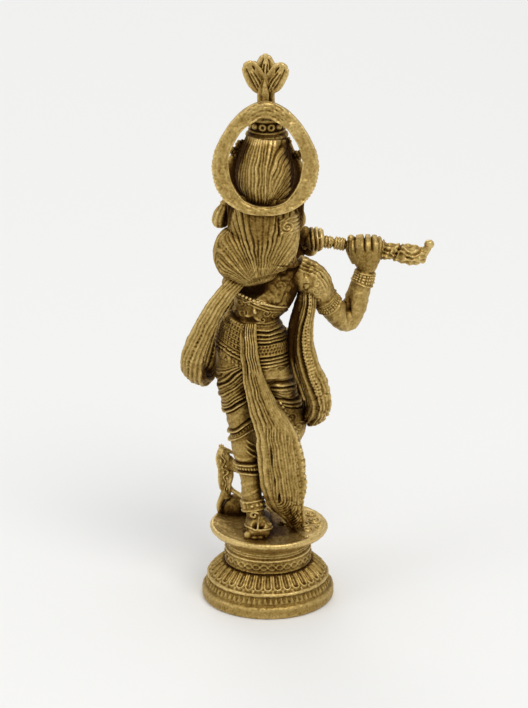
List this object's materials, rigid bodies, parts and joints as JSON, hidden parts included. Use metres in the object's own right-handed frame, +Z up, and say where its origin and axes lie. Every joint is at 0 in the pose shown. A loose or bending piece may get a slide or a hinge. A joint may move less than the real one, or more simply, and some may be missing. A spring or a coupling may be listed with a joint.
{
  "type": "krishna figure",
  "caption": "Small cast brass figure standing cross-legged with a raised flute, halo hoop and falling scarves, on a round moulded plinth.",
  "frame": {"origin": "centre of the plinth's flat underside", "axes": "+Z up through the figure, -Y the way the figure faces, +X towards its left hand, so its raised right arm and the flute's head are at -X"},
  "size_m": [0.0327, 0.0176, 0.074],
  "materials": {
    "brass": "aged cast brass, olive gold on the raised surfaces and dark brown in the hollows, with a fine cast grain and a soft sheen"
  },
  "bodies": {
    "root": {"krishna_figure": "brass"}
  },
  "joints": []
}
